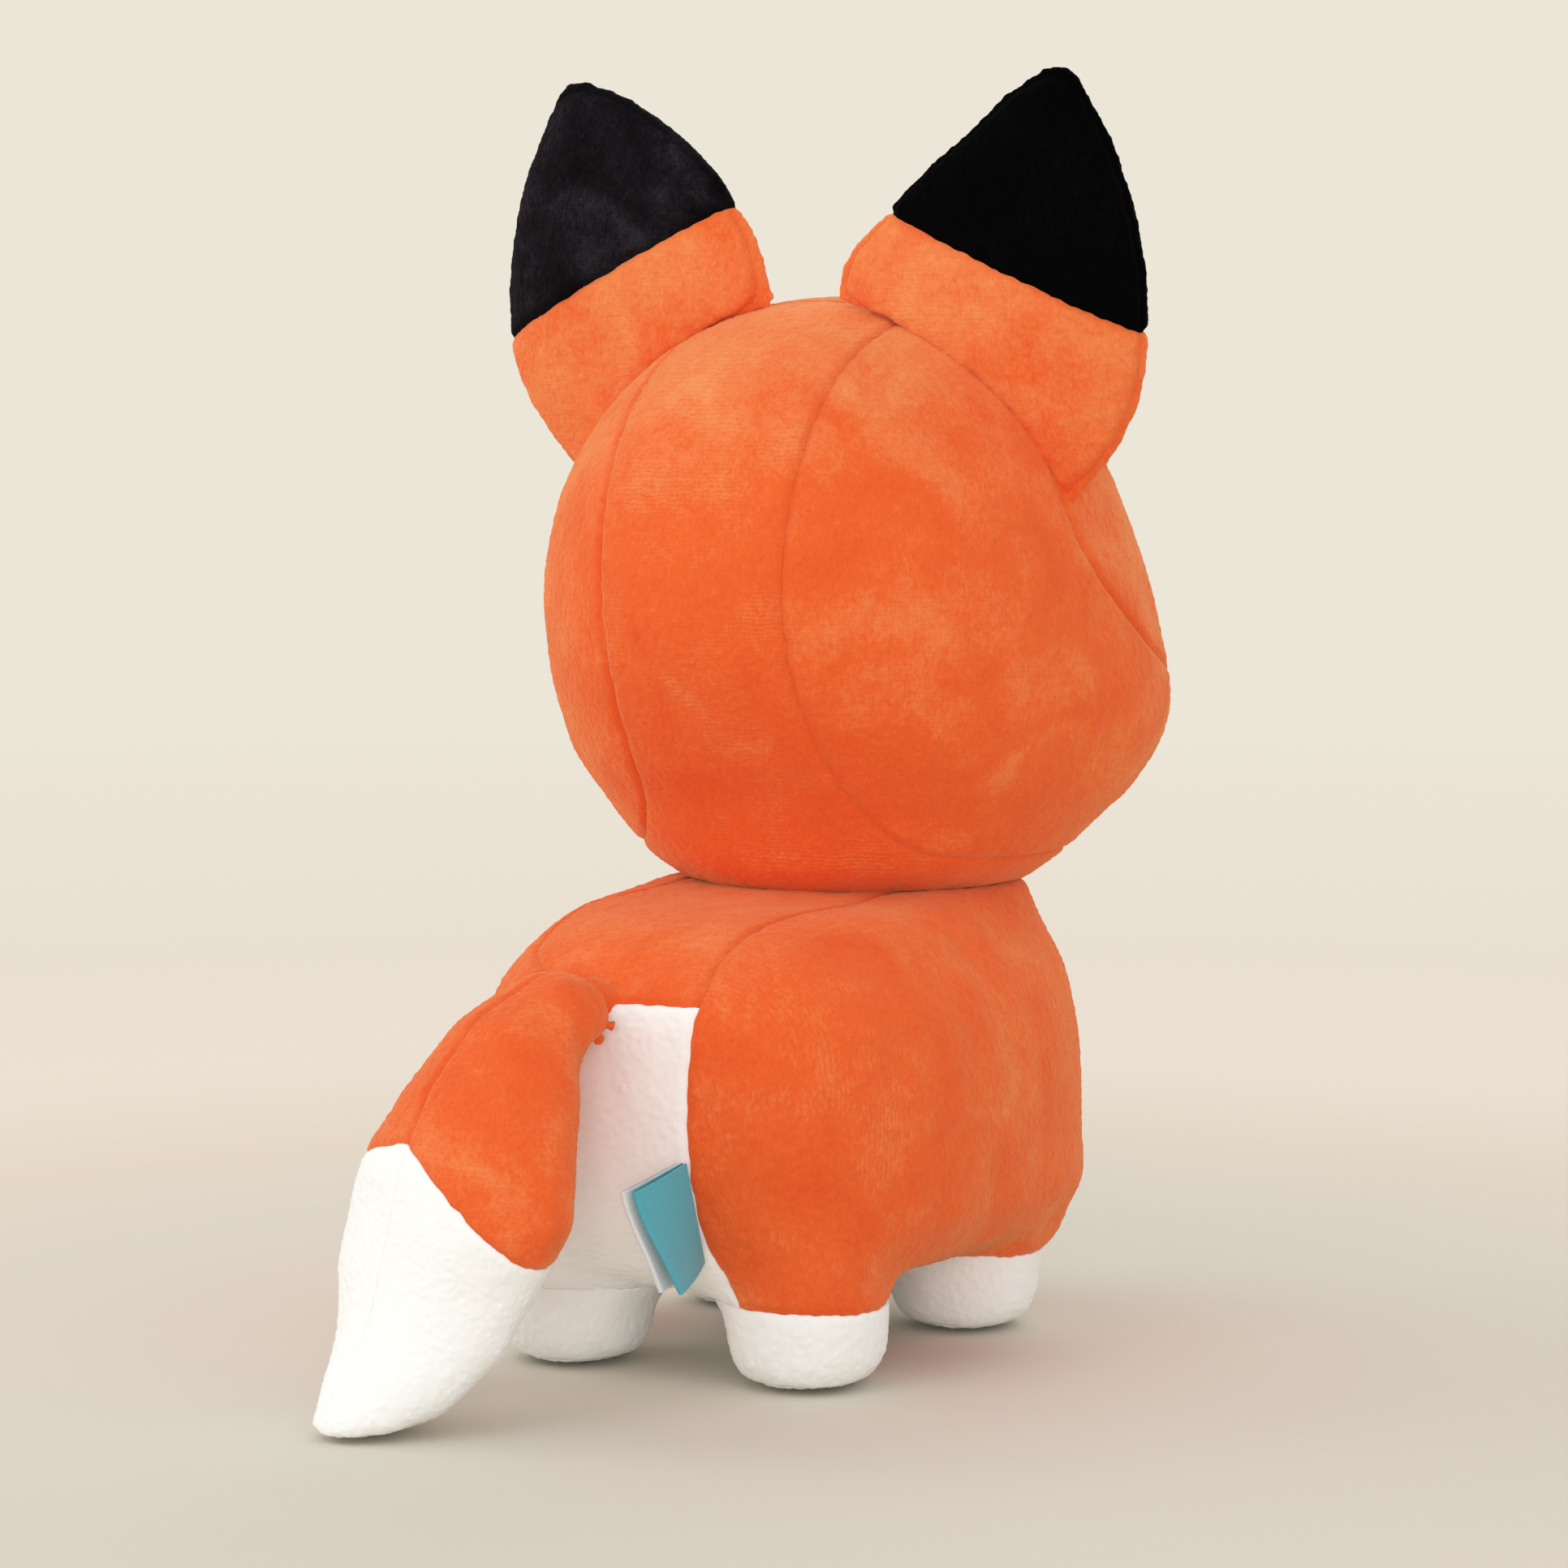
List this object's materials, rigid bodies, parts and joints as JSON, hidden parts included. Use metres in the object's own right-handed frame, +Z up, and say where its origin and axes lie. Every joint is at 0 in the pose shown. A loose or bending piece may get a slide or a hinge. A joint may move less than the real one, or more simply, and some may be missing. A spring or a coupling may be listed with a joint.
{
  "type": "plush fox",
  "caption": "Standing stuffed toy fox with a big round head, leaf-shaped ears, short legs and a drooping brush tail, sewn from short-pile fabric panels.",
  "frame": {"origin": "on the floor, at the middle of the bounding box", "axes": "the fox faces -Y, +X is its left side, +Z is up"},
  "size_m": [0.1592, 0.236, 0.2781],
  "materials": {
    "orange_plush": "short brushed pile",
    "white_plush": "short brushed pile",
    "black_plush": "short brushed pile",
    "fibre_filling": "loose fibre wadding",
    "orange_thread": "gathered thread and seam allowance",
    "teal_satin": "woven satin ribbon",
    "white_satin": "woven satin ribbon",
    "black_gloss": "polished",
    "washer_plastic": "moulded"
  },
  "bodies": {
    "torso": {"torso_stuffing": "fibre_filling", "back_panel": "orange_plush", "belly_panel": "white_plush", "chest_panel": "white_plush", "flank_left": "orange_plush", "flank_right": "orange_plush", "paw_front_left": "white_plush", "sole_front_left": "white_plush", "paw_front_left_stuffing": "fibre_filling", "paw_front_right": "white_plush", "sole_front_right": "white_plush", "paw_front_right_stuffing": "fibre_filling", "paw_hind_left": "white_plush", "sole_hind_left": "white_plush", "paw_hind_left_stuffing": "fibre_filling", "paw_hind_right": "white_plush", "sole_hind_right": "white_plush", "paw_hind_right_stuffing": "fibre_filling"},
    "neck": {"neck_seam": "orange_thread"},
    "head": {"head_stuffing": "fibre_filling", "neck_stuffing": "fibre_filling", "head_gusset": "orange_plush", "head_side_left": "orange_plush", "head_side_right": "orange_plush", "face_forehead": "orange_plush", "face_muzzle": "white_plush", "face_cheek_left": "white_plush", "face_cheek_right": "white_plush", "eye_left": "black_gloss", "eye_left_washer": "washer_plastic", "eye_right": "black_gloss", "eye_right_washer": "washer_plastic", "nose": "black_gloss", "nose_washer": "washer_plastic"},
    "ear_left": {"ear_left_stuffing": "fibre_filling", "ear_left_back_base": "orange_plush", "ear_left_back_tip": "black_plush", "ear_left_lining": "white_plush", "ear_left_front_base": "orange_plush", "ear_left_front_tip": "black_plush"},
    "ear_right": {"ear_right_stuffing": "fibre_filling", "ear_right_back_base": "orange_plush", "ear_right_back_tip": "black_plush", "ear_right_lining": "white_plush", "ear_right_front_base": "orange_plush", "ear_right_front_tip": "black_plush"},
    "tail_root": {"tail_root": "orange_plush"},
    "tail": {"tail_stuffing": "fibre_filling", "tail_base_left": "orange_plush", "tail_base_right": "orange_plush", "tail_tip_left": "white_plush", "tail_tip_right": "white_plush"},
    "labels": {"brand_label": "teal_satin", "care_label": "white_satin"}
  },
  "joints": [
    {"name": "head_turn", "type": "hinge", "parent": "torso", "child": "neck", "pos_m": [0, -0.05256, 0.12329], "axis": [0, 0, 1], "range_deg": [-15, 15], "stiffness_Nm_per_rad": 0.8},
    {"name": "head_nod", "type": "hinge", "parent": "neck", "child": "head", "pos_m": [0, -0.05256, 0.12329], "axis": [1, 0, 0], "range_deg": [-5, 5], "stiffness_Nm_per_rad": 1.2},
    {"name": "ear_left_fold", "type": "hinge", "parent": "head", "child": "ear_left", "pos_m": [0.03759, -0.03428, 0.2104], "axis": [0.7599, -0.134, -0.636], "range_deg": [-12, 12], "stiffness_Nm_per_rad": 0.08},
    {"name": "ear_right_fold", "type": "hinge", "parent": "head", "child": "ear_right", "pos_m": [-0.03759, -0.03428, 0.2104], "axis": [0.7599, 0.134, 0.636], "range_deg": [-12, 12], "stiffness_Nm_per_rad": 0.08},
    {"name": "tail_swing", "type": "hinge", "parent": "torso", "child": "tail_root", "pos_m": [0.008, 0.04544, 0.084], "axis": [0, 0, 1], "range_deg": [-18, 18], "stiffness_Nm_per_rad": 0.1},
    {"name": "tail_lift", "type": "hinge", "parent": "tail_root", "child": "tail", "pos_m": [0.008, 0.04544, 0.084], "axis": [0.9489, -0.3156, 0], "range_deg": [0, 40], "stiffness_Nm_per_rad": 0.12},
    {"name": "label_flip", "type": "hinge", "parent": "torso", "child": "labels", "pos_m": [-0.01624, 0.05092, 0.05146], "axis": [0, 0.225, 0.9744], "range_deg": [-20, 40], "stiffness_Nm_per_rad": 0.002}
  ]
}
